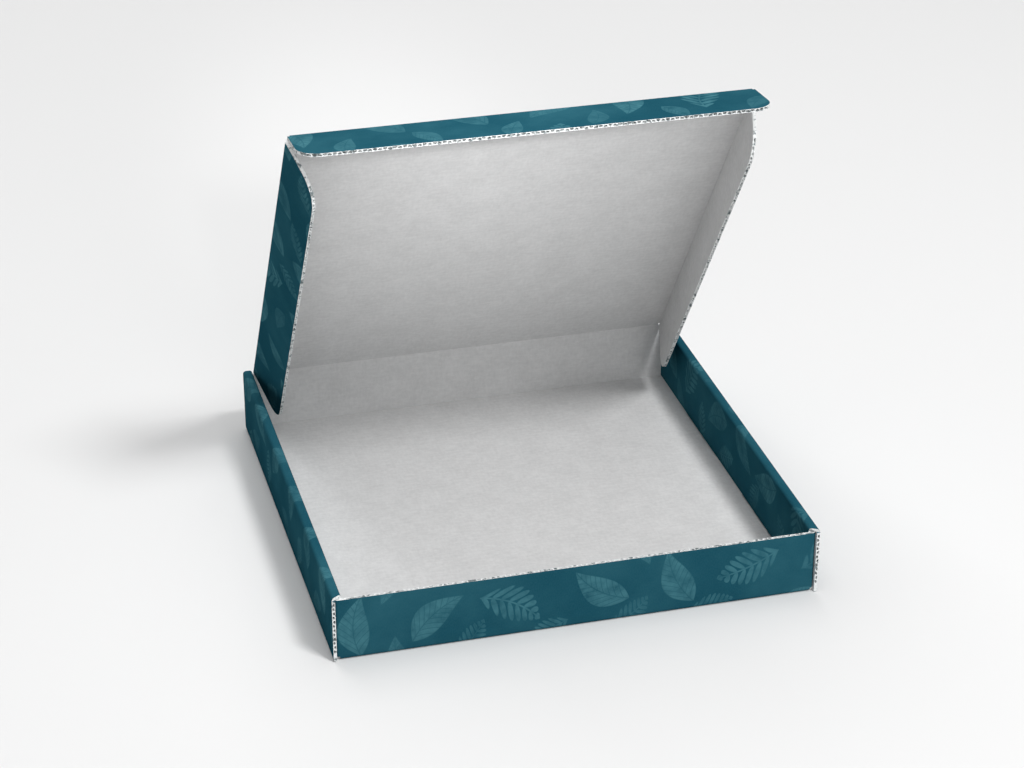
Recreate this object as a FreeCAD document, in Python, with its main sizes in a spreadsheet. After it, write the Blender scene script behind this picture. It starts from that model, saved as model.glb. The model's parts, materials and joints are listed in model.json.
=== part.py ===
import FreeCAD, Part
import math
import os
import Sketcher
from FreeCAD import Rotation, Vector

# A corrugated mailer box, folded from one die-cut sheet. It is shown open, in millimetres.
# X runs across the width, Y from the front wall to the back wall, Z up from the surface it stands on.
# The origin is the middle of the base's underside.

doc = FreeCAD.newDocument("mailer_box")

# The driving dimensions. Lengths are in millimetres and angles in degrees.
SIZES = [
    ("box_width", 330.0, "over the two outer side walls"),
    ("box_depth", 323.0, "from the side walls' front edges to the back wall's outer face"),
    ("side_height", 48.0, "from the underside to the top of the rolled side walls"),
    ("board", 2.2, "thickness of the corrugated board"),
    ("ply_gap", 0.1, "air between the plies of a rolled side wall"),
    ("edge_gap", 0.3, "air between a raw edge and the panel that it meets"),
    ("crease_gap", 0.25, "air between a moving panel's rounded crease and its neighbour's edge"),
    ("fold_gap", 0.15, "air between the lid's inner face and a side flap folded flat against it"),
    ("front_setback", 1.6, "how far the front wall lies behind the side walls' front edges"),
    ("front_drop", 0.8, "how far the front wall's raw top edge lies below the top strips"),
    ("dust_length", 112.0, "length of a dust flap inside a side wall"),
    ("tab_length", 67.0, "length of a lock tab on an inner side wall"),
    ("tab_spread", 127.0, "between the middles of a side's two lock tabs"),
    ("tab_recess", 0.2, "how far a lock tab stops short of the base's underside"),
    ("slot_play", 1.5, "air between a lock tab's end and its slot's end"),
    ("lid_side_gap", 0.6, "air between a folded side flap and the inner side wall"),
    ("tuck_play", 0.3, "air between the tucked flap and the front wall when the box is shut"),
    ("flap_base_gap", 0.9, "air under a square side flap when the box is shut"),
    ("flap_back_gap", 3.0, "from the lid's hinge line to a side flap's back end"),
    ("flap_front_gap", 4.0, "from a side flap's front end to the tuck flap's crease"),
    ("flap_back_radius", 12.5, "corner of a side flap next to the hinge"),
    ("flap_front_radius", 18.0, "corner of a side flap next to the tuck flap"),
    ("tuck_base_gap", 2.2, "air under the tuck flap when the box is shut"),
    ("tuck_inset", 0.8, "how far each end of the tuck flap lies inside the lid's width"),
    ("tuck_radius", 15.0, "corners of the tuck flap"),
    ("lid_angle", 55.0, "how far the lid stands open"),
    ("left_flap_angle", 105.0, "how far the left side flap is folded from flat"),
    ("right_flap_angle", 102.0, "how far the right side flap is folded from flat"),
    ("tuck_angle", 50.0, "how far the tuck flap is folded from flat"),
]
sheet = doc.addObject("Spreadsheet::Sheet", "Sheet")
for row, (alias, value, meaning) in enumerate(SIZES, start=1):
    sheet.set(f"A{row}", alias)
    sheet.set(f"B{row}", str(value))
    sheet.set(f"C{row}", meaning)
    sheet.setAlias(f"B{row}", alias)
doc.recompute()

# Places that several panels share, as expressions on the sheet.
# The X places are those of the right-hand side, from the outside of the rolled wall to its inside.
BOARD = "Sheet.board"
HALF_WIDTH = "(Sheet.box_width / 2)"
OUTER_INSIDE = f"({HALF_WIDTH} - {BOARD})"
DUST_OUTSIDE = f"({OUTER_INSIDE} - Sheet.ply_gap)"
DUST_INSIDE = f"({DUST_OUTSIDE} - {BOARD})"
INNER_OUTSIDE = f"({DUST_INSIDE} - Sheet.ply_gap)"
INNER_INSIDE = f"({INNER_OUTSIDE} - {BOARD})"
SIDE_FRONT = "(-Sheet.box_depth / 2)"
FRONT_OUTSIDE = f"({SIDE_FRONT} + Sheet.front_setback)"
FRONT_INSIDE = f"({FRONT_OUTSIDE} + {BOARD})"
BACK_OUTSIDE = "(Sheet.box_depth / 2)"
BACK_INSIDE = f"({BACK_OUTSIDE} - {BOARD})"
INNER_FRONT = f"({FRONT_INSIDE} + Sheet.edge_gap)"
INNER_BACK = f"({BACK_INSIDE} - Sheet.edge_gap)"
TAB_MIDDLES = {"front": "(-Sheet.tab_spread / 2)", "back": "(Sheet.tab_spread / 2)"}
TOP = "Sheet.side_height"
STRIP_UNDERSIDE = f"({TOP} - {BOARD})"
EDGE_BOTTOM = f"({BOARD} + Sheet.edge_gap)"
FRONT_TOP = f"({STRIP_UNDERSIDE} - Sheet.front_drop)"
BACK_TOP = f"({STRIP_UNDERSIDE} - Sheet.crease_gap)"

# Places on the lid. A moving panel is rounded about its crease line, and its neighbour's edge
# stands clear of it.
CREASE_REACH = f"({BOARD} / 2 + Sheet.crease_gap)"
HINGE_Y = f"({BACK_OUTSIDE} - {BOARD} / 2)"
HINGE_Z = f"({TOP} - {BOARD} / 2)"
LID_LENGTH = f"({HINGE_Y} - {FRONT_INSIDE} - Sheet.tuck_play - {BOARD} / 2)"
FLAP_CREASE = f"({INNER_INSIDE} - Sheet.lid_side_gap - {BOARD})"
FLAP_CREASE_DROP = f"({BOARD} / 2 + Sheet.fold_gap)"
FLAP_DEPTH = f"({HINGE_Z} - {FLAP_CREASE_DROP} - {BOARD} - Sheet.flap_base_gap)"
FLAP_BACK = "Sheet.flap_back_gap"
FLAP_FRONT = f"({LID_LENGTH} - Sheet.flap_front_gap)"
TUCK_HALF_WIDTH = f"({FLAP_CREASE} + {BOARD} - Sheet.tuck_inset)"
TUCK_DEPTH = f"({HINGE_Z} - {BOARD} - Sheet.tuck_base_gap)"

RIGHT = Vector(1, 0, 0)
LEFT = Vector(-1, 0, 0)
FRONT = Vector(0, -1, 0)
BACK = Vector(0, 1, 0)
UP = Vector(0, 0, 1)
DOWN = Vector(0, 0, -1)


def bind(feature, sizes):
    """Ties each named property of a feature to an expression on the sheet."""
    for name, expression in sizes.items():
        feature.setExpression(name, expression)
    return feature


def panel(name, x, y, z):
    """A flat panel between a low and a high place along each axis."""
    sizes = {}
    for letter, side, (low, high) in zip("xyz", ("Length", "Width", "Height"), (x, y, z)):
        sizes[f"Placement.Base.{letter}"] = low
        sizes[side] = f"{high} - ({low})"
    return bind(doc.addObject("Part::Box", name), sizes)


def fold(name, sides, middle, along, low, high):
    """A quarter-round fold between two outward sides. Its middle line is the fold's sharp inner corner."""
    first, second = sides
    way = first.cross(second)
    if way.x + way.y + way.z < 0:
        first, second, way = second, first, -way
    crease = doc.addObject("Part::Cylinder", name)
    crease.Placement.Rotation = Rotation(first, second, way, "XYZ")
    crease.Angle = 90
    sizes = {"Radius": BOARD, "Height": f"{high} - ({low})", f"Placement.Base.{along}": low}
    for letter, place in middle.items():
        sizes[f"Placement.Base.{letter}"] = place
    return bind(crease, sizes)


def on_side(side, inner, outer):
    """Two right-hand X places as a low and a high place on the given side of the box."""
    return (inner, outer) if side == "right" else (f"-{outer}", f"-{inner}")


def mirrored(side, place):
    """A right-hand X place on the given side of the box."""
    return place if side == "right" else f"-{place}"


# The tray: base, front wall, back wall, rolled side walls and the dust flaps inside them,
# all one folded sheet.
def base_and_ends():
    """The base with the front and back walls that stand on its ends."""
    between_sides = (f"-{OUTER_INSIDE}", OUTER_INSIDE)
    between_dust_flaps = (f"-{DUST_INSIDE}", DUST_INSIDE)
    front = {"y": FRONT_INSIDE, "z": BOARD}
    back = {"y": BACK_INSIDE, "z": BOARD}
    return [
        panel("base", between_sides, (FRONT_INSIDE, BACK_INSIDE), ("0", BOARD)),
        panel("front_wall", between_dust_flaps, (FRONT_OUTSIDE, FRONT_INSIDE), (BOARD, FRONT_TOP)),
        panel("back_wall", between_dust_flaps, (BACK_INSIDE, BACK_OUTSIDE), (BOARD, BACK_TOP)),
        fold("front_fold", (FRONT, DOWN), front, "x", *between_dust_flaps),
        fold("back_fold", (BACK, DOWN), back, "x", *between_dust_flaps),
    ]


def rolled_side(side):
    """One side wall, rolled over from outside to inside, with its two lock tabs."""
    outward = RIGHT if side == "right" else LEFT
    depth = (SIDE_FRONT, BACK_OUTSIDE)
    inner_wall = on_side(side, INNER_INSIDE, INNER_OUTSIDE)
    outer_bend = mirrored(side, OUTER_INSIDE)
    inner_bend = mirrored(side, INNER_OUTSIDE)
    bottom = {"x": outer_bend, "z": BOARD}
    outer_top = {"x": outer_bend, "z": STRIP_UNDERSIDE}
    inner_top = {"x": inner_bend, "z": STRIP_UNDERSIDE}
    pieces = [
        panel(f"{side}_outer_wall", on_side(side, OUTER_INSIDE, HALF_WIDTH), depth, (BOARD, STRIP_UNDERSIDE)),
        panel(f"{side}_strip", on_side(side, INNER_OUTSIDE, OUTER_INSIDE), depth, (STRIP_UNDERSIDE, TOP)),
        panel(f"{side}_inner_wall", inner_wall, (INNER_FRONT, INNER_BACK), (EDGE_BOTTOM, STRIP_UNDERSIDE)),
        fold(f"{side}_bottom_fold", (outward, DOWN), bottom, "y", *depth),
        fold(f"{side}_outer_top_fold", (outward, UP), outer_top, "y", *depth),
        fold(f"{side}_inner_top_fold", (-outward, UP), inner_top, "y", *depth),
    ]
    for end, middle in TAB_MIDDLES.items():
        length = (f"{middle} - Sheet.tab_length / 2", f"{middle} + Sheet.tab_length / 2")
        pieces.append(panel(f"{side}_{end}_tab", inner_wall, length, ("Sheet.tab_recess", EDGE_BOTTOM)))
    return pieces


def dust_flap(side, end):
    """The flap that turns from an end of the front or back wall into a rolled side wall."""
    outward = RIGHT if side == "right" else LEFT
    if end == "front":
        corner, away, top = FRONT_INSIDE, FRONT, FRONT_TOP
        length = (corner, f"{corner} + Sheet.dust_length")
    else:
        corner, away, top = BACK_INSIDE, BACK, BACK_TOP
        length = (f"{corner} - Sheet.dust_length", corner)
    between_walls = on_side(side, DUST_INSIDE, DUST_OUTSIDE)
    bend = {"x": mirrored(side, DUST_INSIDE), "y": corner}
    return [
        panel(f"{side}_{end}_dust_flap", between_walls, length, (EDGE_BOTTOM, top)),
        fold(f"{side}_{end}_corner", (outward, away), bend, "z", EDGE_BOTTOM, top),
    ]


def lock_slots(side):
    """The slots through the base that hold a side wall's lock tabs."""
    across = on_side(side, f"({INNER_INSIDE} - Sheet.edge_gap)", f"({INNER_OUTSIDE} + Sheet.edge_gap)")
    reach = "(Sheet.tab_length / 2 + Sheet.slot_play)"
    return [
        panel(f"{side}_{end}_slot", across, (f"{middle} - {reach}", f"{middle} + {reach}"), ("0", BOARD))
        for end, middle in TAB_MIDDLES.items()
    ]


def strip_end(side):
    """The wedge that is cut off the front end of a top strip, from its outer to its inner corner."""
    low, high = on_side(side, INNER_INSIDE, HALF_WIDTH)
    tip = mirrored(side, INNER_INSIDE)
    wedge = doc.addObject("Part::Wedge", f"{side}_strip_end")
    bind(wedge, {"Xmin": low, "Xmax": high, "X2min": tip, "X2max": tip})
    bind(wedge, {"Ymin": SIDE_FRONT, "Ymax": INNER_FRONT})
    return bind(wedge, {"Zmin": STRIP_UNDERSIDE, "Zmax": TOP, "Z2min": STRIP_UNDERSIDE, "Z2max": TOP})


def make_tray():
    """Joins the panels and folds, and cuts what the die cuts."""
    panels = base_and_ends()
    strip_ends = []
    slots = []
    for side in ("left", "right"):
        panels += rolled_side(side)
        panels += dust_flap(side, "front") + dust_flap(side, "back")
        strip_ends.append(strip_end(side))
        slots += lock_slots(side)
    slotted_base = doc.addObject("Part::Cut", "slotted_base")
    all_slots = doc.addObject("Part::Compound", "slots")
    all_slots.Links = slots
    slotted_base.Base = panels[0]
    slotted_base.Tool = all_slots
    folded = doc.addObject("Part::MultiFuse", "folded_sheet")
    folded.Shapes = [slotted_base] + panels[1:]
    folded.Refine = True
    both_ends = doc.addObject("Part::Compound", "strip_ends")
    both_ends.Links = strip_ends
    tray = doc.addObject("Part::Cut", "tray")
    tray.Base = folded
    tray.Tool = both_ends
    return tray


# The lid and its flaps. Each is made flat about its crease line and then turned into place.
def vector(x, y, z):
    """A vector as an expression."""
    return f"create(<<vector>>; {x}; {y}; {z})"


def moved(x, y, z):
    """A shift as an expression."""
    return f"create(<<placement>>; {vector(x, y, z)}; create(<<rotation>>; {vector(0, 0, 1)}; 0))"


def turned(axis, angle):
    """A turn about the origin as an expression."""
    return f"create(<<placement>>; {vector(0, 0, 0)}; create(<<rotation>>; {vector(*axis)}; {angle}))"


LID_PLACE = moved(0, HINGE_Y, HINGE_Z) + " * " + turned((-1, 0, 0), "Sheet.lid_angle")


def round_crease(name, low, high):
    """The half-round edge of a panel about its crease line, which runs along X through the panel's middle."""
    edge = doc.addObject("Part::Cylinder", name)
    edge.Placement.Rotation = Rotation(DOWN, BACK, RIGHT, "XYZ")
    edge.Angle = 180
    return bind(edge, {"Radius": f"{BOARD} / 2", "Height": f"{high} - ({low})", "Placement.Base.x": low})


def make_lid_panel():
    """The lid's flat panel, from the rounded hinge crease to the edge beside the tuck flap."""
    half_width = f"({FLAP_CREASE} - Sheet.crease_gap)"
    across = (f"-{half_width}", half_width)
    along = (f"-({LID_LENGTH} - {CREASE_REACH})", "0")
    flat = panel("lid_flat", across, along, (f"-{BOARD} / 2", f"{BOARD} / 2"))
    lid = doc.addObject("Part::MultiFuse", "lid_panel")
    lid.Shapes = [flat, round_crease("lid_crease", *across)]
    return bind(lid, {"Placement": LID_PLACE})


def flap_outline(body, length, depth, low_radius, high_radius):
    """A flap seen flat: its crease runs along X from the origin, and its two free corners are rounded."""
    sketch = body.newObject("Sketcher::SketchObject", f"{body.Name}_outline")
    plane = next(feature for feature in body.Origin.OriginFeatures if feature.Role == "XY_Plane")
    sketch.AttachmentSupport = [(plane, "")]
    sketch.MapMode = "FlatFace"

    # A first guess in the right order. The constraints below give the real sizes.
    long, deep, low, high = 300.0, 40.0, 10.0, 12.0
    quarter = math.pi / 2
    crease = sketch.addGeometry(Part.LineSegment(Vector(0, 0, 0), Vector(long, 0, 0)))
    high_end = sketch.addGeometry(Part.LineSegment(Vector(long, 0, 0), Vector(long, deep - high, 0)))
    free_edge = sketch.addGeometry(Part.LineSegment(Vector(long - high, deep, 0), Vector(low, deep, 0)))
    low_end = sketch.addGeometry(Part.LineSegment(Vector(0, deep - low, 0), Vector(0, 0, 0)))
    high_circle = Part.Circle(Vector(long - high, deep - high, 0), UP, high)
    low_circle = Part.Circle(Vector(low, deep - low, 0), UP, low)
    high_corner = sketch.addGeometry(Part.ArcOfCircle(high_circle, 0, quarter))
    low_corner = sketch.addGeometry(Part.ArcOfCircle(low_circle, quarter, 2 * quarter))

    origin, start, end = -1, 1, 2
    sketch.addConstraint(
        [
            Sketcher.Constraint("Coincident", origin, start, crease, start),
            Sketcher.Constraint("Coincident", crease, end, high_end, start),
            Sketcher.Constraint("Tangent", high_end, end, high_corner, start),
            Sketcher.Constraint("Tangent", high_corner, end, free_edge, start),
            Sketcher.Constraint("Tangent", free_edge, end, low_corner, start),
            Sketcher.Constraint("Tangent", low_corner, end, low_end, start),
            Sketcher.Constraint("Coincident", low_end, end, crease, start),
            Sketcher.Constraint("Horizontal", crease),
            Sketcher.Constraint("Vertical", high_end),
            Sketcher.Constraint("Horizontal", free_edge),
            Sketcher.Constraint("Vertical", low_end),
        ]
    )
    for name, expression, constraint in (
        ("length", length, Sketcher.Constraint("DistanceX", crease, start, crease, end, long)),
        ("depth", depth, Sketcher.Constraint("DistanceY", crease, start, free_edge, end, deep)),
        ("low_radius", low_radius, Sketcher.Constraint("Radius", low_corner, low)),
        ("high_radius", high_radius, Sketcher.Constraint("Radius", high_corner, high)),
    ):
        sketch.renameConstraint(sketch.addConstraint(constraint), name)
        bind(sketch, {f"Constraints.{name}": expression})
    return sketch


def flap(name, length, depth, low_radius, high_radius, board_side):
    """A flap cut flat from the board, with its thickness on the upper or the lower side of its outline."""
    body = doc.addObject("PartDesign::Body", name)
    outline = flap_outline(body, length, depth, low_radius, high_radius)
    pad = body.newObject("PartDesign::Pad", f"{name}_board")
    pad.Profile = outline
    pad.Reversed = board_side == DOWN
    bind(pad, {"Length": BOARD})
    return body


def add_crease(body, sides, angle, radius, length, height):
    """Rounds a flap's crease: a part of a cylinder along X that starts at the first side."""
    crease = body.newObject("PartDesign::AdditiveCylinder", f"{body.Name}_crease")
    crease.Placement.Rotation = Rotation(*sides, RIGHT, "XYZ")
    crease.Angle = angle
    bind(crease, {"Radius": radius, "Height": length, "Placement.Base.z": height})


def make_side_flap(side):
    """A side flap of the lid. It folds about the lid's inner face, so that it can lie flat against it."""
    length = f"({FLAP_FRONT} - {FLAP_BACK})"
    board_side = UP if side == "right" else DOWN
    radii = ("Sheet.flap_back_radius", "Sheet.flap_front_radius")
    body = flap(f"{side}_side_flap", length, FLAP_DEPTH, *radii, board_side)
    sides = (UP, FRONT) if side == "right" else (FRONT, DOWN)
    add_crease(body, sides, 90, BOARD, length, "0")

    # Turns the outline's crease along the lid's edge and its depth away from the lid's middle.
    if side == "right":
        outline_place = turned((0, 0, 1), -90)
        turn = turned((0, 1, 0), "Sheet.right_flap_angle")
    else:
        outline_place = turned((1, -1, 0), 180)
        turn = turned((0, -1, 0), "Sheet.left_flap_angle")
    crease_place = moved(mirrored(side, FLAP_CREASE), 0, f"-{FLAP_CREASE_DROP}")
    steps = (LID_PLACE, crease_place, turn, outline_place, moved(FLAP_BACK, 0, 0))
    return bind(body, {"Placement": " * ".join(steps)})


def make_tuck_flap():
    """The tuck flap at the front of the lid. It folds about the middle of the board."""
    length = f"(2 * {TUCK_HALF_WIDTH})"
    body = flap("tuck_flap", length, TUCK_DEPTH, "Sheet.tuck_radius", "Sheet.tuck_radius", UP)
    half_board = f"({BOARD} / 2)"
    add_crease(body, (UP, FRONT), 180, half_board, length, half_board)
    crease_place = moved(0, f"-{LID_LENGTH}", 0)
    turn = turned((1, 0, 0), "Sheet.tuck_angle + 180")
    outline_place = moved(f"-{TUCK_HALF_WIDTH}", 0, f"-{half_board}")
    return bind(body, {"Placement": " * ".join((LID_PLACE, crease_place, turn, outline_place))})


sub_parts = {
    "tray": make_tray(),
    "lid_panel": make_lid_panel(),
    "left_side_flap": make_side_flap("left"),
    "right_side_flap": make_side_flap("right"),
    "tuck_flap": make_tuck_flap(),
}
for name, part in sub_parts.items():
    part.Label = name
doc.recompute()

failed = [thing.Name for thing in doc.Objects if {"Invalid", "Error"} & set(thing.State)]
if failed:
    raise RuntimeError(f"these features failed: {failed}")
os.makedirs("parts", exist_ok=True)
for name, part in sub_parts.items():
    if part.Shape.isNull() or not part.Shape.isValid() or len(part.Shape.Solids) != 1:
        raise RuntimeError(f"{name} isn't one valid solid")
for name, part in sub_parts.items():
    part.Shape.exportStep(f"parts/{name}.step")
    box = part.Shape.BoundBox
    size = f"{box.XLength:.1f} x {box.YLength:.1f} x {box.ZLength:.1f} mm"
    print(f"{name}: {part.Shape.Volume:.0f} mm3, {size}")
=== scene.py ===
import json
import math

import bpy
from mathutils import Matrix, Vector


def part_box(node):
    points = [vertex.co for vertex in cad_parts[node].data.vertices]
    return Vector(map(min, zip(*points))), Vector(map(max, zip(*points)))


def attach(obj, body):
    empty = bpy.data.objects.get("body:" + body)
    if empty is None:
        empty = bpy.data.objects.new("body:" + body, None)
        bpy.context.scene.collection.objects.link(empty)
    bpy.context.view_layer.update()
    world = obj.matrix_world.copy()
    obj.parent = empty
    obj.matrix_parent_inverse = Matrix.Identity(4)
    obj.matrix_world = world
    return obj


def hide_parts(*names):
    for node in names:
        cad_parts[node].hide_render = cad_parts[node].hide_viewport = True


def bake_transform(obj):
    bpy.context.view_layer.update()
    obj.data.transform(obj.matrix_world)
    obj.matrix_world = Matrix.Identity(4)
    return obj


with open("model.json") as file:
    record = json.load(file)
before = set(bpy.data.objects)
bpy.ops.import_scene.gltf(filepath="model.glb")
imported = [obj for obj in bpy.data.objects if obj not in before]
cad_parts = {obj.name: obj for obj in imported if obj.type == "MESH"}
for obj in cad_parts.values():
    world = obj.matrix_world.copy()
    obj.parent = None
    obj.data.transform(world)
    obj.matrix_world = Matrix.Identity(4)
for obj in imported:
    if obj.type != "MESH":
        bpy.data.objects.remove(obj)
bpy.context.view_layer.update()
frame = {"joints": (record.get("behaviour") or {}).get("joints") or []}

# The camera stands a little to the left of the box and looks down at it through a long lens.
# Its place was worked out from the box's corners in the picture.
CAMERA_PLACE = (-0.4305, -1.5925, 0.9679)
CAMERA_TILT = math.radians(62.175)
CAMERA_TURN = math.radians(-15.02)
CAMERA_LENS = 94.96
bpy.ops.object.camera_add(location=CAMERA_PLACE, rotation=(CAMERA_TILT, 0, CAMERA_TURN))
camera = bpy.context.object
camera.data.lens = CAMERA_LENS
bpy.context.scene.camera = camera
bpy.context.scene.view_settings.view_transform = "Standard"


# The studio floor is one wide sheet of matt paper, near white and faintly mottled. It lies a
# hair below the box, so that the two never share a face.
FLOOR_SIZE = 9
FLOOR_DROP = 0.0002
FLOOR_WHITE = (0.78, 0.78, 0.78, 1)
FLOOR_SHADE = (0.76, 0.76, 0.76, 1)


def shader(tree, kind, *values, **settings):
    """Adds a shader node, sets its properties, and fills or links its sockets in order."""
    node = tree.nodes.new("ShaderNode" + kind)
    for name, setting in settings.items():
        setattr(node, name, setting)
    for socket, value in zip(node.inputs, values):
        if isinstance(value, bpy.types.NodeSocket):
            tree.links.new(value, socket)
        elif value is not None:
            socket.default_value = value
    return node


def noise(tree, place, scale, detail, roughness):
    """Cloudy noise between 0 and 1. The scale says how many spots it has to a unit of the place."""
    return shader(tree, "TexNoise", place, None, scale, detail, roughness).outputs["Fac"]


def mix(tree, share, first, second):
    """A colour between two colours."""
    return shader(tree, "MixRGB", share, first, second).outputs[0]


def new_finish(name, roughness, specular=0.5):
    """A new material, and the node tree and surface shader that give its look."""
    finish = bpy.data.materials.new(name)
    finish.use_nodes = True
    surface = finish.node_tree.nodes["Principled BSDF"]
    surface.inputs["Roughness"].default_value = roughness
    surface.inputs["Specular IOR Level"].default_value = specular
    return finish, finish.node_tree, surface


bpy.ops.mesh.primitive_plane_add(size=FLOOR_SIZE, location=(0, 0, -FLOOR_DROP))
floor = bpy.context.object
floor.name = "studio_floor"
floor_paper, tree, surface = new_finish("floor_paper", roughness=0.9, specular=0.1)
mottle = noise(tree, None, scale=3.0, detail=4.0, roughness=0.5)
tree.links.new(mix(tree, mottle, FLOOR_WHITE, FLOOR_SHADE), surface.inputs["Base Color"])
floor.data.materials.append(floor_paper)


# Four soft boxes stand four metres away or more, so that they light the floor evenly. The key is
# small, on the right and in front. The other three are wide fills: above, behind and in front.
def add_light(kind, name, place, target, power):
    """A light of the given kind that faces its target."""
    bpy.ops.object.light_add(type=kind, location=place)
    light = bpy.context.object
    light.name = name
    light.rotation_euler = (target - place).to_track_quat("-Z", "Y").to_euler()
    light.data.energy = power
    return light


def add_soft_box(name, direction, distance, size, power, target_height):
    """A square light, seen in the given direction from a point above the base's middle."""
    target = Vector((0, 0, target_height))
    place = target + Vector(direction).normalized() * distance
    soft_box = add_light("AREA", name, place, target, power)
    soft_box.data.size = size


add_soft_box("key_light", (0.35, -0.62, 1), distance=4.5, size=0.9, power=119, target_height=0.1)
add_soft_box("top_light", (0, 0, 1), distance=4, size=3.5, power=62, target_height=0.1)
add_soft_box("back_light", (-0.1, 0.7, 1), distance=4, size=2.5, power=52, target_height=0.1)
add_soft_box("front_light", (0, -1, 0.5), distance=4, size=2, power=34, target_height=0.15)

# A narrow lamp in front, with a soft rim, gives the brighter patch high on the open lid. The
# room around box and lights is a dim grey.
LAMP_PLACE = Vector((-0.16, -1.55, 1.05))
LAMP_AIM = Vector((-0.01, 0.14, 0.225))
LAMP_CONE = math.radians(9)
LAMP_RADIUS = 0.08
ROOM_GREY = (0.118, 0.118, 0.118, 1)
lid_lamp = add_light("SPOT", "lid_lamp", LAMP_PLACE, LAMP_AIM, power=84)
lid_lamp.data.spot_size = LAMP_CONE
lid_lamp.data.spot_blend = 1
lid_lamp.data.shadow_soft_size = LAMP_RADIUS
room = bpy.data.worlds.new("grey_room")
bpy.context.scene.world = room
room.use_nodes = True
room.node_tree.nodes["Background"].inputs["Color"].default_value = ROOM_GREY


# The outer paper of the board is printed all over in deep teal, with paler leaves and sprigs
# scattered over it tone on tone. The print is laid out on the flat sheet, so it runs on over
# the folds. The sheet's own flat coordinates are each piece's UV map, in metres.
TEAL_GROUND = (0.011, 0.080, 0.116, 1)
TEAL_DEEP = (0.008, 0.064, 0.096, 1)
TEAL_LEAF = (0.060, 0.195, 0.235, 1)
TEAL_PALE = (0.024, 0.112, 0.150, 1)
TEAL_FLECK = (0.06, 0.16, 0.19, 1)
FLECK_SHARE = 0.12

# The board's flutes run along the sheet and repeat every 6.4 mm across it, as in B-flute board.
FLUTE_PITCH = 0.0064

# One motif stands in each square cell of the sheet. The spacing is a cell's width in metres, and
# a motif's lengths and widths are shares of its cell.
LEAF_SPACING = 0.055
JOG = 0.18
HALF_LENGTH = 0.42
STEM_HALF = 0.014
LEAFLET_SPACING = 0.105
LEAFLET_LENGTH = 0.24
LEAFLET_SHORTEST = 0.004
BLADE_HALF_WIDTH = 0.19
BLADE_NARROWING = 0.08
VEIN_SPACING = 0.045

# How strongly a motif is bent, leans and stands out, and what share of the motifs are sprigs. A
# thickness of 1 would let the leaflets of a sprig touch.
MOST_BEND = 0.8
LEAFLET_LEAN = 0.7
LEAFLET_THICKNESS = 0.80
VEIN_LEAN = 0.75
VEIN_CURVE = 0.8
VEIN_DEPTH = 0.6
SPRIG_SHARE = 0.45
FAINTEST_MOTIF = 0.55

# The print is two layers of motifs. Those of the second are smaller and a little fainter.
SMALL_SIZE = 0.66
SMALL_TONE = 0.85


def calc(tree, operation, *values):
    """The result of one sum on numbers."""
    return shader(tree, "Math", *values, operation=operation).outputs[0]


def vector_calc(tree, operation, *values):
    """The result of one sum on vectors."""
    return shader(tree, "VectorMath", *values, operation=operation).outputs[0]


def ramp(tree, value, low, high):
    """0 where the value is at low and 1 at high, with a soft step between."""
    step = shader(tree, "MapRange", value, low, high, 0.0, 1.0, interpolation_type="SMOOTHSTEP")
    return step.outputs[0]


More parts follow.
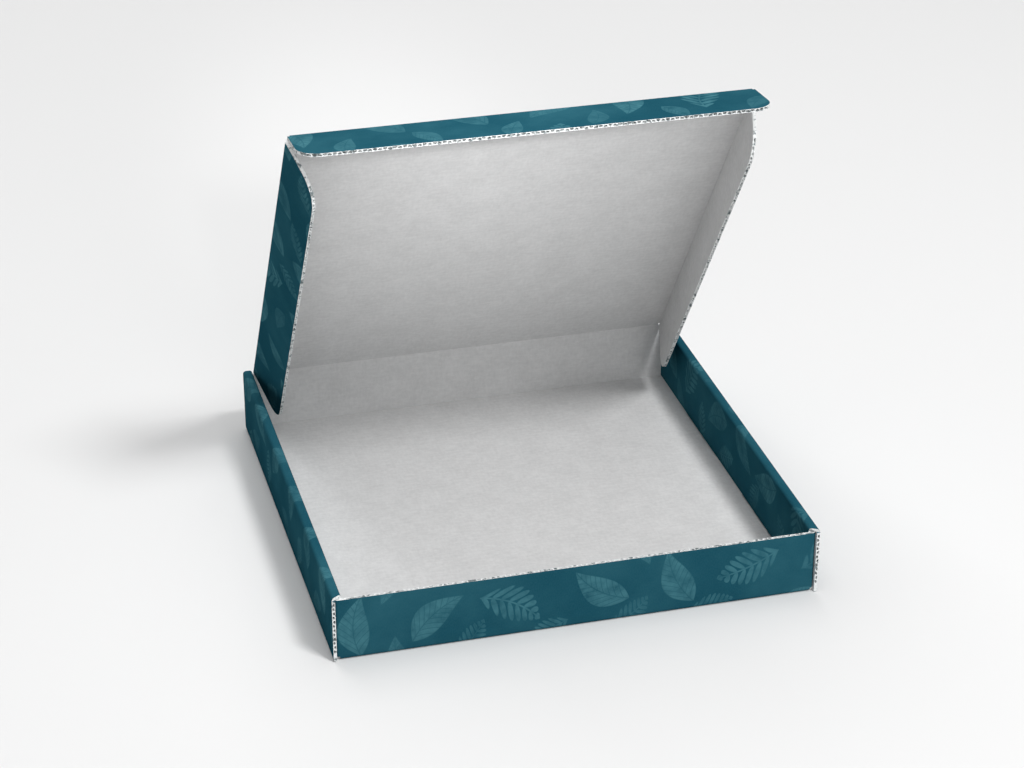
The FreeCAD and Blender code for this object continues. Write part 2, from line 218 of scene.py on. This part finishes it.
def scatter_leaves(tree, sheet_place, shift, size):
    """Leaves and sprigs, one to a cell of the flat sheet, each shifted, turned and bent by chance."""
    scaled = vector_calc(tree, "SCALE", sheet_place, None, None, 1 / LEAF_SPACING)
    shifted = vector_calc(tree, "ADD", scaled, shift)
    corner = vector_calc(tree, "FLOOR", shifted)
    chance = shader(tree, "TexWhiteNoise", corner, noise_dimensions="2D").outputs["Color"]

    # A motif stands in the middle of its cell, give or take half the jog.
    offset = (JOG - 1) / 2
    jog = vector_calc(tree, "MULTIPLY_ADD", chance, (-JOG, -JOG, 0), (offset, offset, 0))
    off_middle = vector_calc(tree, "ADD", vector_calc(tree, "SUBTRACT", shifted, corner), jog)
    inside = vector_calc(tree, "SCALE", off_middle, None, None, 1 / size)
    first, second, third = shader(tree, "SeparateXYZ", chance).outputs
    turn = calc(tree, "MULTIPLY", third, math.tau * 3)
    turned = shader(tree, "VectorRotate", inside, (0, 0, 0), None, turn, rotation_type="Z_AXIS")
    along, across, _ = shader(tree, "SeparateXYZ", turned.outputs[0]).outputs

    # The stem is bent a little, and everything is measured from it.
    bend = calc(tree, "MULTIPLY_ADD", second, 2 * MOST_BEND, -MOST_BEND)
    arch = calc(tree, "MULTIPLY", calc(tree, "MULTIPLY", along, along), bend)
    side = calc(tree, "ABSOLUTE", calc(tree, "SUBTRACT", across, arch))
    reach = calc(tree, "DIVIDE", along, HALF_LENGTH)
    taper = calc(tree, "SUBTRACT", 1.0, calc(tree, "MULTIPLY", reach, reach))
    on_stem = ramp(tree, taper, 0.0, 0.06)

    # A sprig: pairs of small oval leaves that lean towards the tip, on a thin stem.
    length_here = calc(tree, "MULTIPLY", taper, LEAFLET_LENGTH)
    leaflet_length = calc(tree, "MAXIMUM", length_here, LEAFLET_SHORTEST)
    lean = calc(tree, "MULTIPLY_ADD", side, -LEAFLET_LEAN, along)
    share = calc(tree, "FRACT", calc(tree, "DIVIDE", lean, LEAFLET_SPACING))
    wide = calc(tree, "DIVIDE", calc(tree, "SUBTRACT", share, 0.5), LEAFLET_THICKNESS / 2)
    long = calc(tree, "MULTIPLY_ADD", calc(tree, "DIVIDE", side, leaflet_length), 2.0, -1.0)
    oval = calc(tree, "ADD", calc(tree, "MULTIPLY", wide, wide), calc(tree, "MULTIPLY", long, long))
    leaflets = ramp(tree, oval, 1.12, 0.72)
    stem = ramp(tree, side, STEM_HALF, STEM_HALF / 2)
    sprig = calc(tree, "MULTIPLY", calc(tree, "MAXIMUM", leaflets, stem), on_stem)

    # A single leaf: a pointed oval with a midrib and a few curved side veins.
    full_width = calc(tree, "MULTIPLY_ADD", reach, -BLADE_NARROWING, BLADE_HALF_WIDTH)
    inset = calc(tree, "SUBTRACT", calc(tree, "MULTIPLY", taper, full_width), side)
    blade = ramp(tree, inset, 0.0, 0.014)
    curved = calc(tree, "POWER", side, VEIN_CURVE)
    vein_lean = calc(tree, "MULTIPLY_ADD", curved, -VEIN_LEAN, along)
    veins = ramp(tree, calc(tree, "PINGPONG", vein_lean, VEIN_SPACING), 0.010, 0.003)
    midrib = ramp(tree, side, 0.010, 0.004)
    lines = calc(tree, "MULTIPLY", calc(tree, "MAXIMUM", veins, midrib), VEIN_DEPTH)
    leaf = calc(tree, "MULTIPLY", blade, calc(tree, "SUBTRACT", 1.0, lines))

    is_leaf = calc(tree, "GREATER_THAN", first, SPRIG_SHARE)
    motif = shader(tree, "Mix", is_leaf, None, sprig, leaf, data_type="FLOAT").outputs[0]
    tone = calc(tree, "MULTIPLY_ADD", second, 1 - FAINTEST_MOTIF, FAINTEST_MOTIF)
    return calc(tree, "MULTIPLY", motif, tone)


def add_bump(tree, height, surface):
    """Raises the surface by a height in metres."""
    bump = shader(tree, "Bump", 1.0, 1.0)
    tree.links.new(height, bump.inputs["Height"])
    tree.links.new(bump.outputs[0], surface.inputs["Normal"])


def washboard(tree, sheet_place, surface, rise, grain_rise):
    """The faint ribs that the flutes press into the paper, and the paper's own fine grain."""
    across = shader(tree, "SeparateXYZ", sheet_place).outputs["X"]
    rib = calc(tree, "SINE", calc(tree, "MULTIPLY", across, math.tau / FLUTE_PITCH))
    grain_place = vector_calc(tree, "MULTIPLY", sheet_place, (1, 0.45, 1))
    grain = noise(tree, grain_place, scale=1400.0, detail=3.0, roughness=0.6)
    height = calc(tree, "MULTIPLY_ADD", rib, rise, calc(tree, "MULTIPLY", grain, grain_rise))
    add_bump(tree, height, surface)
    return grain


printed_paper, tree, surface = new_finish("printed_paper", roughness=0.5, specular=0.0)
sheet_place = shader(tree, "UVMap", uv_map="flat_sheet").outputs[0]
large = scatter_leaves(tree, sheet_place, shift=(0.31, 0.906, 0), size=1)
small = scatter_leaves(tree, sheet_place, shift=(7.81, 3.406, 0), size=SMALL_SIZE)
leaves = calc(tree, "MAXIMUM", large, calc(tree, "MULTIPLY", small, SMALL_TONE))
wash = noise(tree, sheet_place, scale=90.0, detail=5.0, roughness=0.65)
drift_place = vector_calc(tree, "ADD", sheet_place, (1.7, 0.4, 0))
drift = noise(tree, drift_place, scale=12.0, detail=4.0, roughness=0.6)
washed = mix(tree, wash, TEAL_DEEP, TEAL_GROUND)
ground = mix(tree, ramp(tree, drift, 0.35, 0.75), washed, TEAL_PALE)
leaf_share = calc(tree, "MULTIPLY", leaves, ramp(tree, wash, 0.15, 0.75))
grain = washboard(tree, sheet_place, surface, rise=0.000010, grain_rise=0.000018)
print_colour = mix(tree, leaf_share, ground, TEAL_LEAF)
fleck = calc(tree, "MULTIPLY", ramp(tree, grain, 0.30, 0.70), FLECK_SHARE)
tree.links.new(mix(tree, fleck, print_colour, TEAL_FLECK), surface.inputs["Base Color"])

# The inner paper is plain white kraft. It is mottled by short fibres, longer across the sheet in
# one layer and along it in the other, with soft clouds between, and ribbed faintly by the flutes.
PAPER_WHITE = (0.73, 0.73, 0.73, 1)
PAPER_SHADE = (0.595, 0.595, 0.595, 1)
WEFT_SHARE = 0.38
WARP_SHARE = 0.32
CLOUD_SHARE = 0.3
plain_paper, tree, surface = new_finish("plain_paper", roughness=0.75, specular=0.3)
sheet_place = shader(tree, "UVMap", uv_map="flat_sheet").outputs[0]
washboard(tree, sheet_place, surface, rise=0.000012, grain_rise=0.000030)
weft_place = vector_calc(tree, "MULTIPLY", sheet_place, (0.36, 1, 1))
weft = noise(tree, weft_place, scale=400.0, detail=4.0, roughness=0.65)
warp_place = vector_calc(tree, "MULTIPLY", sheet_place, (1, 0.4, 1))
warp = noise(tree, warp_place, scale=480.0, detail=4.0, roughness=0.65)
cloud = noise(tree, sheet_place, scale=45.0, detail=5.0, roughness=0.6)
fibres = calc(tree, "MULTIPLY_ADD", weft, WEFT_SHARE, calc(tree, "MULTIPLY", warp, WARP_SHARE))
shade_share = ramp(tree, calc(tree, "MULTIPLY_ADD", cloud, CLOUD_SHARE, fibres), 0.30, 0.70)
tree.links.new(mix(tree, shade_share, PAPER_WHITE, PAPER_SHADE), surface.inputs["Base Color"])

# The cut edge of the board is the bare white paper of all three layers. The die tears it a little,
# so it is ragged, and the edge is grey in patches.
EDGE_WHITE = (0.84, 0.86, 0.86, 1)
EDGE_GREY_PATCH = (0.20, 0.24, 0.25, 1)
TEAR_RISE = 0.0004
cut_edge, tree, surface = new_finish("cut_edge", roughness=0.9)
object_place = shader(tree, "TexCoord").outputs["Object"]
tear = noise(tree, object_place, scale=330.0, detail=2.0, roughness=0.5)
grey_patch_share = ramp(tree, tear, 0.50, 0.64)
tree.links.new(mix(tree, grey_patch_share, EDGE_WHITE, EDGE_GREY_PATCH), surface.inputs["Base Color"])
add_bump(tree, calc(tree, "MULTIPLY", tear, TEAR_RISE), surface)

PAPERS = (printed_paper, plain_paper, cut_edge)
PRINTED, PLAIN, CUT = range(3)


# The tray is the middle of the corrugated sheet: the base, front and back walls with dust flaps at
# their ends, and side walls that roll over those flaps and lock into slots in the base. It is
# drawn from the base outwards, one half of it, as the folded sheet stands.
BOARD = 0.0022
PLY_GAP = 0.0001
EDGE_GAP = 0.0003
FRONT_SETBACK = 0.0016
FRONT_DROP = 0.0008
CREASE_GAP = 0.00025
DUST_LENGTH = 0.112
TAB_LENGTH = 0.067
TAB_MIDDLE = 0.0635
TAB_RECESS = 0.0002
BEND_STEPS = 6
NEAR = 0.00002

tray_low, tray_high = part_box("tray")
half_width = tray_high.x
side_front = tray_low.y
back_outside = tray_high.y
top = tray_high.z
outer_inside = half_width - BOARD
dust_outside = outer_inside - PLY_GAP
dust_inside = dust_outside - BOARD
inner_outside = dust_inside - PLY_GAP
inner_inside = inner_outside - BOARD
front_outside = side_front + FRONT_SETBACK
front_inside = front_outside + BOARD
back_inside = back_outside - BOARD
strip_underside = top - BOARD
edge_bottom = BOARD + EDGE_GAP
front_top = strip_underside - FRONT_DROP
back_top = strip_underside - CREASE_GAP


def block(name, low, high):
    """A block of board between two corners."""
    low, high = Vector(low), Vector(high)
    bpy.ops.object.select_all(action="DESELECT")
    bpy.ops.mesh.primitive_cube_add(size=1, location=(low + high) / 2, scale=high - low)
    bpy.ops.object.transform_apply(location=True, rotation=False, scale=True)
    piece = bpy.context.object
    piece.name = name
    piece.data.name = name
    return piece


def choose(piece, kind, parts, wanted):
    """Selects the faces or edges of a piece that pass a test, and leaves it in edit mode."""
    bpy.ops.object.mode_set(mode="EDIT")
    bpy.ops.mesh.select_mode(type=kind)
    bpy.ops.mesh.select_all(action="DESELECT")
    bpy.ops.object.mode_set(mode="OBJECT")
    for part in getattr(piece.data, parts):
        part.select = wanted(part)
    bpy.ops.object.mode_set(mode="EDIT")


def pull(piece, shift, wanted):
    """Extrudes the faces whose middle and normal pass a test."""
    choose(piece, "FACE", "polygons", lambda face: wanted(face.center, face.normal))
    bpy.ops.mesh.extrude_region_move(TRANSFORM_OT_translate={"value": shift})
    bpy.ops.object.mode_set(mode="OBJECT")


def round_edges(piece, radius, steps, wanted):
    """Rounds the edges whose two ends pass a test, and closes what the rounding meets."""

    def both_ends(edge):
        return all(wanted(piece.data.vertices[number].co) for number in edge.vertices)

    choose(piece, "EDGE", "edges", both_ends)
    bpy.ops.mesh.bevel(offset=radius, segments=steps, clamp_overlap=False)
    bpy.ops.mesh.select_all(action="SELECT")
    bpy.ops.mesh.remove_doubles(threshold=NEAR)
    bpy.ops.mesh.dissolve_degenerate(threshold=NEAR)
    bpy.ops.object.mode_set(mode="OBJECT")


def cut_across(piece, place, direction):
    """Adds a line of edges round a piece where a plane crosses it."""
    bpy.context.view_layer.objects.active = piece
    bpy.ops.object.mode_set(mode="EDIT")
    bpy.ops.mesh.select_all(action="SELECT")
    bpy.ops.mesh.bisect(plane_co=place, plane_no=direction)
    bpy.ops.object.mode_set(mode="OBJECT")


def near(value, place):
    """Whether a coordinate is at a place, apart from rounding."""
    return abs(value - place) < NEAR


def looks(normal, x=0, y=0, z=0):
    """Whether a face looks along an axis, the way that the axis's number says."""
    return normal.x * x + normal.y * y + normal.z * z > 0.9


tray = block("tray_sheet", (0, front_inside, 0), (dust_inside, back_inside, BOARD))

# The front and back walls, each with the dust flap that turns in behind the side wall.
ends = ((-1, front_outside, front_inside, front_top), (1, back_outside, back_inside, back_top))
for way, outside, inside, wall_top in ends:
    pull(
        tray,
        (0, way * BOARD, 0),
        lambda place, normal: looks(normal, y=way) and near(place.y, inside),
    )
    for height in (EDGE_GAP, wall_top - edge_bottom):
        pull(
            tray,
            (0, 0, height),
            lambda place, normal: looks(normal, z=1) and place.y * way > inside * way + NEAR,
        )
    pull(
        tray,
        (BOARD, 0, 0),
        lambda place, normal: looks(normal, x=1)
        and place.y * way > inside * way
        and place.z > edge_bottom,
    )
    pull(
        tray,
        (0, -way * DUST_LENGTH, 0),
        lambda place, normal: looks(normal, y=-way)
        and place.x > dust_inside
        and near(place.y, inside),
    )
    round_edges(
        tray, BOARD, BEND_STEPS, lambda spot: near(spot.x, dust_outside) and near(spot.y, outside)
    )
    round_edges(tray, BOARD, BEND_STEPS, lambda spot: near(spot.y, outside) and near(spot.z, 0))

# The side wall goes up from the base, over the strip on top, and down again as the inner wall.
pull(
    tray,
    (outer_inside - dust_inside, 0, 0),
    lambda place, normal: looks(normal, x=1)
    and near(place.x, dust_inside)
    and front_inside < place.y < back_inside
    and place.z < BOARD,
)
pull(
    tray,
    (BOARD, 0, 0),
    lambda place, normal: looks(normal, x=1) and near(place.x, outer_inside) and place.z < BOARD,
)
for height in (strip_underside - EDGE_GAP - BOARD, EDGE_GAP, BOARD):
    pull(tray, (0, 0, height), lambda place, normal: looks(normal, z=1) and place.x > outer_inside)
for width in (outer_inside - inner_outside, BOARD):
    pull(
        tray,
        (-width, 0, 0),
        lambda place, normal: looks(normal, x=-1)
        and place.z > strip_underside
        and place.x < outer_inside + NEAR,
    )
pull(
    tray,
    (0, 0, edge_bottom - strip_underside),
    lambda place, normal: looks(normal, z=-1)
    and inner_inside < place.x < inner_outside
    and near(place.z, strip_underside),
)
for way, end, inside in ((-1, side_front, front_inside), (1, back_outside, back_inside)):
    pull(
        tray,
        (0, end - inside, 0),
        lambda place, normal: looks(normal, y=way)
        and near(place.y, inside)
        and (place.x > outer_inside or place.z > strip_underside),
    )

# Two lock tabs stand on the inner wall's lower edge.
for middle in (-TAB_MIDDLE, TAB_MIDDLE):
    for end in (-TAB_LENGTH / 2, TAB_LENGTH / 2):
        cut_across(tray, (0, middle + end, 0), (0, 1, 0))
pull(
    tray,
    (0, 0, TAB_RECESS - edge_bottom),
    lambda place, normal: looks(normal, z=-1)
    and inner_inside < place.x < inner_outside
    and near(place.z, edge_bottom)
    and abs(abs(place.y) - TAB_MIDDLE) < TAB_LENGTH / 2,
)
for bend_x, bend_z in ((half_width, 0), (half_width, top), (inner_inside, top)):
    round_edges(
        tray, BOARD, BEND_STEPS, lambda spot: near(spot.x, bend_x) and near(spot.z, bend_z)
    )

# The front end of the strip is cut off on a slant, back to the inner wall.
slant = (front_inside + EDGE_GAP - side_front) / (half_width - inner_inside)
for vertex in tray.data.vertices:
    if near(vertex.co.y, side_front) and vertex.co.z > strip_underside - NEAR:
        vertex.co.y += (half_width - vertex.co.x) * slant

# The other half is the mirror image.
choose(tray, "FACE", "polygons", lambda face: near(face.center.x, 0))
bpy.ops.mesh.delete(type="FACE")
bpy.ops.object.mode_set(mode="OBJECT")
other_half = tray.modifiers.new("other_half", "MIRROR")
other_half.merge_threshold = NEAR
bpy.ops.object.modifier_apply(modifier=other_half.name)


def dress(piece, paper_of, flat_place_of):
    """Gives each face its paper, and its place on the flat sheet as UV coordinates."""
    for paper in PAPERS:
        piece.data.materials.append(paper)
    while piece.data.uv_layers:
        piece.data.uv_layers.remove(piece.data.uv_layers[0])
    layout = piece.data.uv_layers.new(name="flat_sheet")
    for face in piece.data.polygons:
        face.material_index = paper_of(face.center, face.normal)
        for corner in face.loop_indices:
            vertex = piece.data.vertices[piece.data.loops[corner].vertex_index]
            layout.data[corner].uv = flat_place_of(vertex.co, face.center, face.normal)


def tray_paper(place, normal):
    """Which paper shows on a face of the tray. A face that looks along no axis is in a bend."""
    side = 1 if place.x > 0 else -1
    out = abs(place.x)
    on_slant = place.z > strip_underside and normal.y < -0.5
    at_back_end = looks(normal, y=1) and out > dust_inside
    if on_slant:
        return CUT
    if max(abs(normal.x), abs(normal.y), abs(normal.z)) < 0.999:
        return PRINTED
    if at_back_end:
        return CUT
    printed = (
        looks(normal, z=-1) and near(place.z, 0),
        looks(normal, z=1) and near(place.z, top),
        looks(normal, x=side) and (near(out, half_width) or near(out, dust_outside)),
        looks(normal, x=-side) and near(out, inner_inside),
        looks(normal, y=-1) and near(place.y, front_outside),
        looks(normal, y=1) and near(place.y, back_outside),
    )
    plain = (
        looks(normal, z=1) and near(place.z, BOARD),
        looks(normal, z=-1) and near(place.z, strip_underside),
        looks(normal, x=-side) and (near(out, outer_inside) or near(out, dust_inside)),
        looks(normal, x=side) and near(out, inner_outside),
        looks(normal, y=1) and near(place.y, front_inside),
        looks(normal, y=-1) and near(place.y, back_inside),
    )
    if any(printed):
        return PRINTED
    return PLAIN if any(plain) else CUT


def tray_flat_place(vertex, place, normal):
    """Where a point of the folded tray lies on the flat sheet."""
    side = 1 if place.x > 0 else -1
    if abs(normal.x) > max(abs(normal.y), abs(normal.z)):
        over = half_width + vertex.z
        if abs(place.x) < inner_outside + NEAR:
            over = half_width + top + (half_width - inner_inside) + top - vertex.z
        return side * over, vertex.y
    if abs(normal.y) > abs(normal.z):
        if place.y < 0:
            return vertex.x, front_outside - vertex.z
        return vertex.x, back_outside + vertex.z
    if place.z > strip_underside - NEAR:
        return side * (half_width + top + half_width - abs(vertex.x)), vertex.y
    return vertex.x, vertex.y


dress(tray, tray_paper, tray_flat_place)

# Two slots along each side of the base hold the inner walls' lock tabs. The die cuts them right
# through the board, a little longer and wider than the tabs.
SLOT_PLAY = 0.0015
slot_reach = TAB_LENGTH / 2 + SLOT_PLAY


def cut_out(piece, tool):
    """Takes a tool's shape out of a piece, leaves cut edges there, and throws the tool away."""
    for paper in PAPERS:
        tool.data.materials.append(paper)
    for face in tool.data.polygons:
        face.material_index = CUT
    change = piece.modifiers.new("cut", "BOOLEAN")
    change.operation = "DIFFERENCE"
    change.solver = "EXACT"
    change.object = tool
    bpy.ops.object.select_all(action="DESELECT")
    bpy.context.view_layer.objects.active = piece
    piece.select_set(True)
    bpy.ops.object.modifier_apply(modifier=change.name)
    bpy.data.objects.remove(tool)


for side in (-1, 1):
    for middle in (-TAB_MIDDLE, TAB_MIDDLE):
        low_x, high_x = sorted(
            (side * (inner_inside - EDGE_GAP), side * (inner_outside + EDGE_GAP))
        )
        slot = block(
            "slot",
            (low_x, middle - slot_reach, -BOARD),
            (high_x, middle + slot_reach, BOARD + EDGE_GAP / 2),
        )
        cut_out(tray, slot)

# Where the die cuts across the flutes the board is open: the wavy middle paper shows between the
# two outer papers. One flute is modelled as the air on both sides of its wave, repeated over the
# width, and taken out of the board. A tunnel's width is a share of the flutes' pitch.
LINER = 0.0003
MIDDLE_PAPER = 0.0002
TUNNEL_SHARE = 0.4
WAVE_STEPS = 8


def flute_tunnels(length, count):
    """The air in a row of flutes. They run along Y, side by side along X from the origin."""
    roof = BOARD / 2 - LINER
    wave = roof - MIDDLE_PAPER / 2
    bpy.ops.object.select_all(action="DESELECT")
    bpy.ops.mesh.primitive_grid_add(x_subdivisions=WAVE_STEPS, y_subdivisions=1, size=1)
    air = bpy.context.object
    air.scale = (FLUTE_PITCH * TUNNEL_SHARE, length, 1)
    air.location = (0, length / 2, 0)
    bpy.ops.object.transform_apply(location=True, rotation=False, scale=True)
    for vertex in air.data.vertices:
        swing = math.cos(math.tau * vertex.co.x / FLUTE_PITCH)
        vertex.co.z = MIDDLE_PAPER / 2 - wave * swing
    bpy.ops.object.mode_set(mode="EDIT")
    bpy.ops.mesh.select_all(action="SELECT")
    bpy.ops.mesh.extrude_region_move(TRANSFORM_OT_translate={"value": (0, 0, BOARD)})
    bpy.ops.object.mode_set(mode="OBJECT")
    for vertex in air.data.vertices:
        if vertex.select:
            vertex.co.z = roof

    # The tunnel under the wave is the one above it, turned about the point where the wave crosses.
    bpy.ops.object.mode_set(mode="EDIT")
    bpy.ops.mesh.select_all(action="SELECT")
    bpy.ops.mesh.duplicate()
    bpy.ops.transform.rotate(
        value=math.pi, orient_axis="Y", center_override=(FLUTE_PITCH / 4, 0, 0)
    )
    bpy.ops.mesh.select_all(action="SELECT")
    bpy.ops.mesh.normals_make_consistent(inside=False)
    bpy.ops.object.mode_set(mode="OBJECT")
    row = air.modifiers.new("row", "ARRAY")
    row.count = count
    row.use_relative_offset = False
    row.use_constant_offset = True
    row.constant_offset_displace = (FLUTE_PITCH, 0, 0)
    bpy.ops.object.modifier_apply(modifier=row.name)
    return air


# The front wall's flutes stand upright and open at its top edge. The outer side walls' flutes
# lie level and open at both ends.
front_flutes = flute_tunnels(top, int(2 * dust_inside / FLUTE_PITCH) - 1)
front_flutes.matrix_world = Matrix.Translation(
    (-dust_inside + FLUTE_PITCH, front_inside - BOARD / 2, 2 * BOARD)
) @ Matrix.Rotation(math.radians(90), 4, "X")
cut_out(tray, front_flutes)
flutes_up_a_side = int((top - 3 * BOARD) / FLUTE_PITCH)
for side in (-1, 1):
    level_flutes = flute_tunnels(back_outside - side_front + 2 * BOARD, flutes_up_a_side)
    level_flutes.matrix_world = Matrix.Translation(
        (side * (half_width - BOARD / 2), side_front - BOARD, 2 * BOARD + FLUTE_PITCH / 2)
    ) @ Matrix.Rotation(math.radians(-90), 4, "Y")
    cut_out(tray, level_flutes)

SMOOTH_ANGLE = math.radians(32)


def smooth_bends(piece):
    """Shades the rounded folds smooth and leaves the cut edges sharp."""
    bpy.ops.object.select_all(action="DESELECT")
    bpy.context.view_layer.objects.active = piece
    piece.select_set(True)
    bpy.ops.object.shade_smooth_by_angle(angle=SMOOTH_ANGLE)


smooth_bends(tray)
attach(tray, "tray")
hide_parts("tray")


# The lid is the back end of the same sheet, a plain panel narrow enough to go down between the
# inner side walls. It is drawn flat, with its hinge along X and its printed side up, and then
# stands open at the angle that the frame gives.
CREASE_HALF = 0.00135
LID_SIDE_GAP = 0.0006
joints = {joint["name"]: joint for joint in frame["joints"]}
hinge = Vector(joints["lid_hinge"]["pos_m"])
lid_along = Vector(joints["left_flap_crease"]["axis"])
lid_open = math.atan2(lid_along.z, -lid_along.y)
lid_place = Matrix.Translation(hinge) @ Matrix.Rotation(-lid_open, 4, "X")
lid_length = (Vector(joints["tuck_crease"]["pos_m"]) - hinge).length
lid_half_width = inner_inside - LID_SIDE_GAP - BOARD - CREASE_GAP


def lid_flat_place(vertex):
    """Where a point of the flat lid lies on the flat sheet."""
    return vertex.x, back_outside + top - vertex.y


def flat_paper(place, normal):
    """Which paper shows on a face of a flat panel with its printed side up."""
    if looks(normal, z=1):
        return PRINTED
    return PLAIN if looks(normal, z=-1) else CUT


def put(piece, place):
    """Moves a flat piece to its place, and leaves its object at the origin."""
    piece.data.transform(place)
    piece.data.update()


lid = block(
    "lid_board",
    (-lid_half_width, CREASE_HALF - lid_length, -BOARD / 2),
    (lid_half_width, -CREASE_HALF, BOARD / 2),
)
dress(lid, flat_paper, lambda vertex, place, normal: lid_flat_place(vertex))
put(lid, lid_place)
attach(lid, "lid")
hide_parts("lid_panel")


# The crease between back wall and lid is a narrow strip of the same board, crushed by the
# creasing rule. It is drawn bent as the box stands, and so are the creases of the three flaps.
BEND_PARTS = 7


def make_crease(name, low, high, reaches, bottoms, in_lid, fold_angle):
    """A bent strip between two panels. It runs along X and bends about X."""
    before, after = reaches
    crease = block(name, (low, -after, 0), (high, before, BOARD))
    for number in range(1, BEND_PARTS):
        line = before - (before + after) * number / BEND_PARTS
        cut_across(crease, (0, line, 0), (0, 1, 0))
    dress(crease, flat_paper, lambda vertex, place, normal: lid_flat_place(in_lid @ vertex))
    choose(crease, "FACE", "polygons", lambda face: abs(face.normal.y) > 0.9)
    bpy.ops.mesh.delete(type="FACE")
    bpy.ops.object.mode_set(mode="OBJECT")
    for vertex in crease.data.vertices:
        share = (before - vertex.co.y) / (before + after)
        turn = share * share * (3 - 2 * share)
        vertex.co.z += bottoms[0] + (bottoms[1] - bottoms[0]) * share
        vertex.co = Matrix.Rotation(fold_angle * turn, 4, "X") @ vertex.co
    put(crease, lid_place @ in_lid)
    smooth_bends(crease)
    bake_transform(crease)


hinge_fold = math.radians(90) - lid_open
make_crease(
    "hinge_crease",
    -lid_half_width,
    lid_half_width,
    (hinge.z - back_top, CREASE_HALF),
    (-BOARD / 2, -BOARD / 2),
    Matrix.Rotation(-hinge_fold, 4, "X"),
    hinge_fold,
)

# The lid's two side flaps are of the same board, with their free corners cut round. They go down
# inside the side walls when the box is shut. They fold about the lid's inner face, so that they
# can lie flat against it.
FLAP_CREASE_START = 0.0015
CORNER_STEPS = 10
SIDE_FLAP_BACK = 0.0018
SIDE_FLAP_FRONT_GAP = 0.004
SIDE_FLAP_RADII = {"back": 0.0125, "front": 0.018}
SIDE_FLAP_BASE_GAP = 0.0009
FOLD_GAP = 0.00015
fold_drop = BOARD / 2 + FOLD_GAP
side_flap_front = lid_length - SIDE_FLAP_FRONT_GAP
side_flap_depth = hinge.z - fold_drop - BOARD - SIDE_FLAP_BASE_GAP


def make_flap(name, low, high, depth, bottom, radii, in_lid, fold_angle):
    """A flap with rounded corners and open flutes. It is drawn flat, with its crease along X and
    its free edge towards -Y, and is then laid beside the lid and turned about its crease."""
    flap = block(name, (low, -depth, bottom), (high, -FLAP_CREASE_START, bottom + BOARD))
    for corner, radius in zip((low, high), radii):
        round_edges(
            flap, radius, CORNER_STEPS, lambda spot: near(spot.x, corner) and near(spot.y, -depth)
        )
    dress(flap, flat_paper, lambda vertex, place, normal: lid_flat_place(in_lid @ vertex))

    # The row of flutes stops short of both ends, so that the flap's side edges stay shut.
    first_flute = low + FLUTE_PITCH / 2
    air = flute_tunnels(depth, int((high - first_flute) / FLUTE_PITCH))
    air.location = (first_flute, -depth - 2 * BOARD, bottom + BOARD / 2)
    cut_out(flap, air)
    put(flap, lid_place @ in_lid @ Matrix.Rotation(fold_angle, 4, "X"))
    smooth_bends(flap)
    return flap


# The frame gives how far each side flap is folded: it is square at its joint's lower limit.
for side, way in (("left", -1), ("right", 1)):
    joint = joints[f"{side}_flap_crease"]
    fold_angle = math.radians(90 - joint["range_deg"][0])
    crease_x = joint["pos_m"][0]
    beside_lid = Matrix.Rotation(math.radians(90 * way), 4, "Z")
    in_lid = Matrix.Translation((crease_x, 0, -fold_drop)) @ beside_lid
    low, high = sorted((-way * SIDE_FLAP_BACK, -way * side_flap_front))
    radii = (SIDE_FLAP_RADII["front"], SIDE_FLAP_RADII["back"])[::way]
    flap = make_flap(
        f"{side}_flap_board", low, high, side_flap_depth, 0, radii, in_lid, fold_angle
    )
    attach(flap, f"{side}_flap")
    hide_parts(f"{side}_side_flap")
    make_crease(
        f"{side}_flap_bend",
        low,
        high,
        (abs(crease_x) - lid_half_width, FLAP_CREASE_START),
        (fold_drop - BOARD / 2, 0),
        in_lid,
        fold_angle,
    )

# The tuck flap at the front of the lid is of the same board and has two round corners. It folds
# about the middle of the board, and slips inside the front wall when the box is shut.
TUCK_INSET = 0.0008
TUCK_BASE_GAP = 0.0022
TUCK_RADIUS = 0.015
tuck_half_width = inner_inside - LID_SIDE_GAP - TUCK_INSET
tuck_depth = hinge.z - BOARD - TUCK_BASE_GAP
tuck_fold = math.radians(-joints["tuck_crease"]["range_deg"][0])
in_lid = Matrix.Translation((0, -lid_length, 0))
tuck = make_flap(
    "tuck_flap_board",
    -tuck_half_width,
    tuck_half_width,
    tuck_depth,
    -BOARD / 2,
    (TUCK_RADIUS, TUCK_RADIUS),
    in_lid,
    tuck_fold,
)
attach(tuck, "tuck")
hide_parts("tuck_flap")
make_crease(
    "tuck_crease_bend",
    -lid_half_width,
    lid_half_width,
    (CREASE_HALF, FLAP_CREASE_START),
    (-BOARD / 2, -BOARD / 2),
    in_lid,
    tuck_fold,
)
